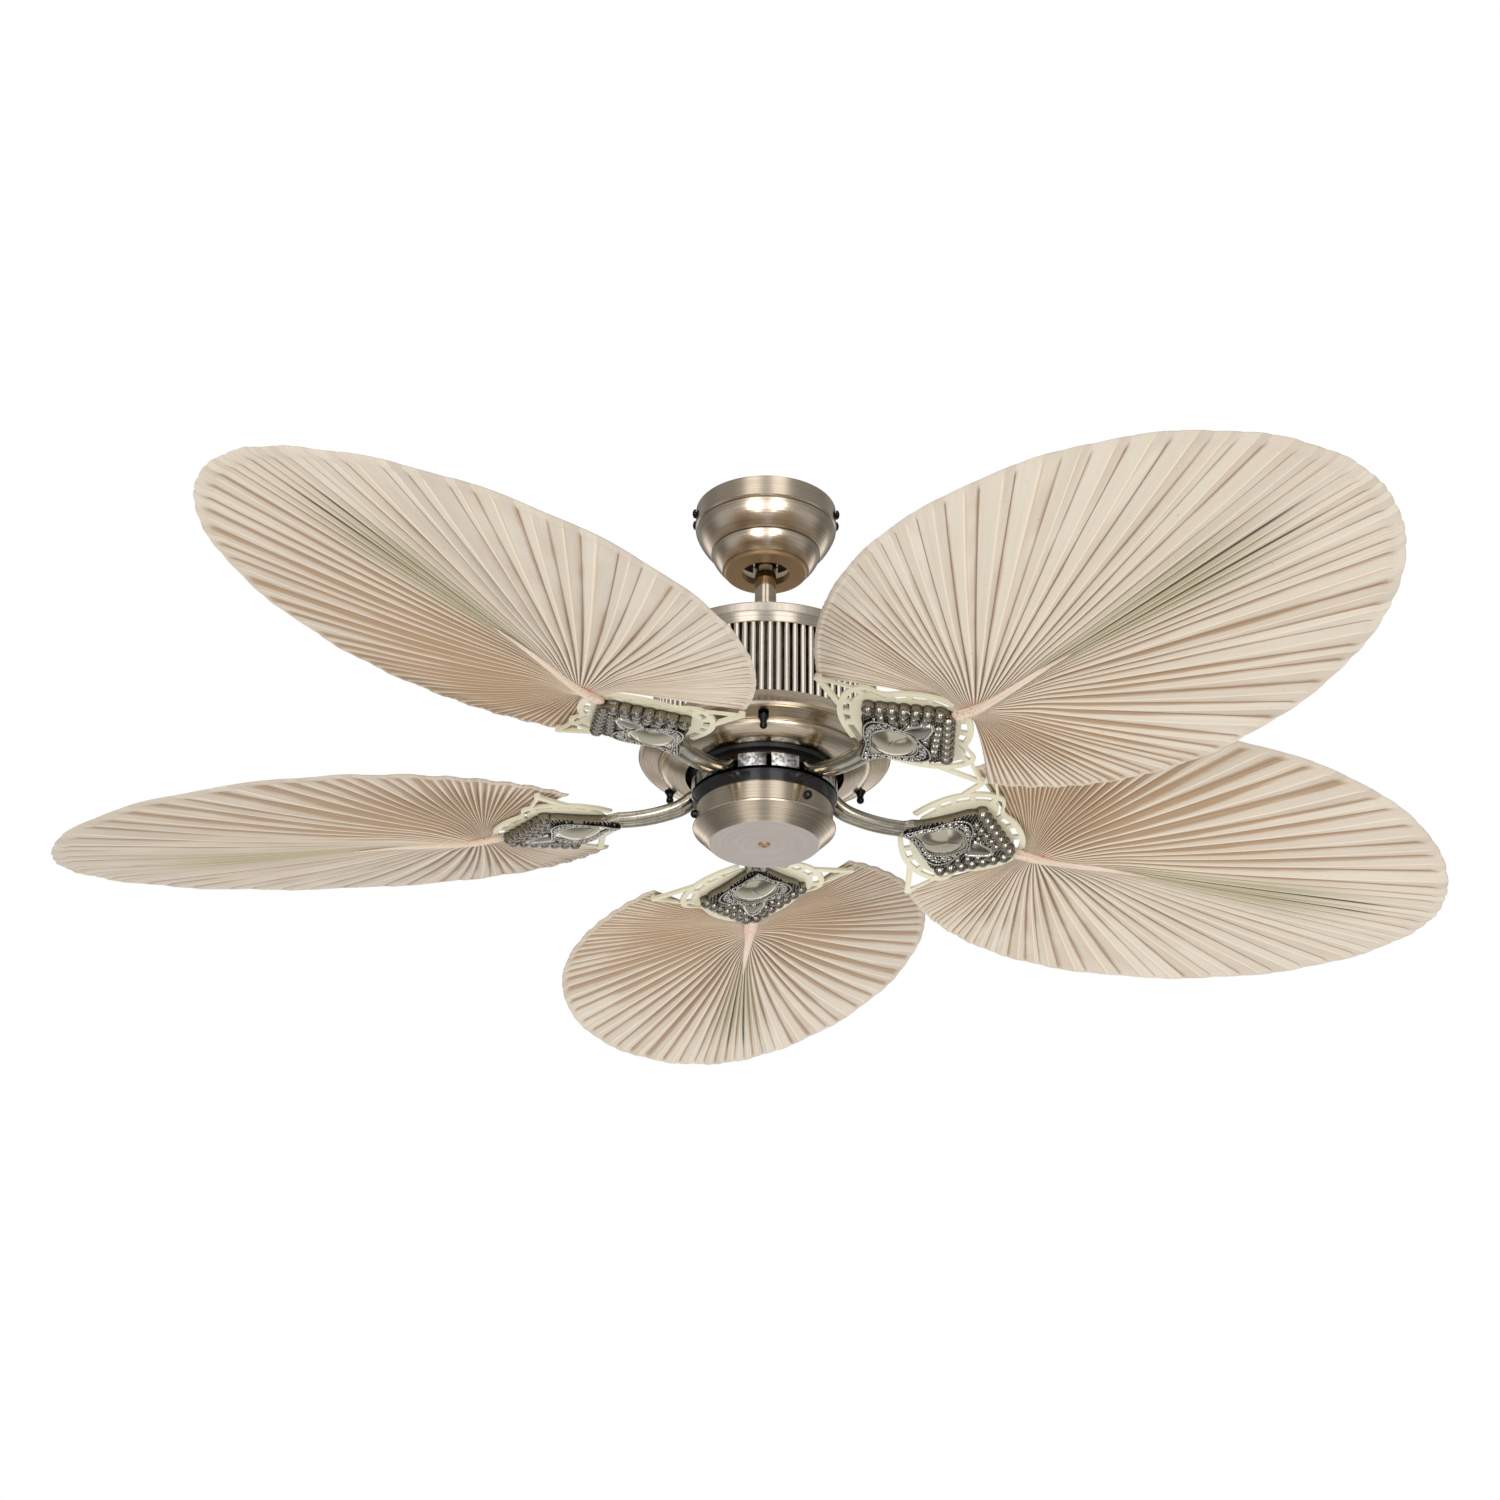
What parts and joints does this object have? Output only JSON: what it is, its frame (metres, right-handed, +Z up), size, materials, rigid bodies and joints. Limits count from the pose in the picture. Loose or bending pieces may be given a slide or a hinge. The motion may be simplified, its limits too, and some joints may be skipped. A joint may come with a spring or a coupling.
{
  "type": "ceiling fan",
  "caption": "Ceiling fan on a short downrod: ribbed antique-brass motor drum, ornate cast blade arms and broad pleated palm-leaf blades that spin below the housing.",
  "frame": {"origin": "on the fan's axis in the ceiling plane, at the centre of the ceiling bracket's top face", "axes": "+Z up along the axis, towards the ceiling; +X to the right and +Y away from the viewer in the picture"},
  "size_m": [1.2632, 1.2327, 0.3303],
  "materials": {
    "antique_brass": "brushed antique brass, satin lacquer",
    "rib_brass": "polished antique brass",
    "tan_gold": "plain tan-gold lacquer",
    "dark_bronze": "dark bronze paint",
    "antique_bronze": "die-cast, antique patina rubbed bright on the high parts",
    "gloss_black": "gloss black",
    "hub_black": "satin black",
    "black_steel": "blackened steel",
    "zinc_steel": "zinc plated",
    "cast_steel": "plain steel",
    "cast_aluminium": "as cast",
    "copper": "enamelled wire",
    "dark_plastic": "moulded",
    "ivory_plastic": "moulded, slight sheen",
    "palm_leaf": "dried natural palm leaf"
  },
  "bodies": {
    "ceiling_fixture": {"ceiling_bracket": "zinc_steel", "terminal_block": "ivory_plastic", "canopy": "antique_brass", "canopy_ring": "tan_gold", "canopy_screws": "black_steel"},
    "hanging_unit": {"hanger_ball": "dark_plastic", "ball_pin": "zinc_steel", "downrod": "antique_brass", "coupling_cover": "antique_brass", "yoke": "cast_steel", "clevis_pin": "zinc_steel", "clevis_clip": "zinc_steel", "yoke_screws": "zinc_steel", "housing_screws": "zinc_steel", "housing_top": "antique_brass", "rib_drum": "dark_bronze", "rib_bars": "rib_brass", "lower_band": "antique_brass", "bowl": "antique_brass", "bowl_screws": "black_steel", "motor_shaft": "zinc_steel", "stator_core": "cast_steel", "stator_windings": "copper", "switch_plate": "gloss_black", "shaft_nut": "zinc_steel", "capacitor": "dark_plastic", "bottom_cap": "antique_brass", "cap_screws": "black_steel", "cap_plug": "tan_gold"},
    "rotor": {"rotor_upper": "cast_aluminium", "rotor_lower": "hub_black", "rotor_ring": "cast_steel", "upper_bearing": "zinc_steel", "lower_bearing": "zinc_steel", "rotor_bolts": "zinc_steel", "arm_screws": "black_steel", "plate_screws": "black_steel", "blade_arm_1": "antique_bronze", "blade_arm_2": "antique_bronze", "blade_arm_3": "antique_bronze", "blade_arm_4": "antique_bronze", "blade_arm_5": "antique_bronze", "blade_plate_1": "ivory_plastic", "blade_plate_2": "ivory_plastic", "blade_plate_3": "ivory_plastic", "blade_plate_4": "ivory_plastic", "blade_plate_5": "ivory_plastic", "leaf_1": "palm_leaf", "leaf_2": "palm_leaf", "leaf_3": "palm_leaf", "leaf_4": "palm_leaf", "leaf_5": "palm_leaf"}
  },
  "joints": [
    {"name": "hang_tilt", "type": "hinge", "parent": "ceiling_fixture", "child": "hanging_unit", "pos_m": [0, 0, -0.034], "axis": [1, 0, 0], "range_deg": [-12, 12]},
    {"name": "spin", "type": "hinge", "parent": "hanging_unit", "child": "rotor", "pos_m": [0, 0, -0.2], "axis": [0, 0, 1], "continuous": true}
  ]
}
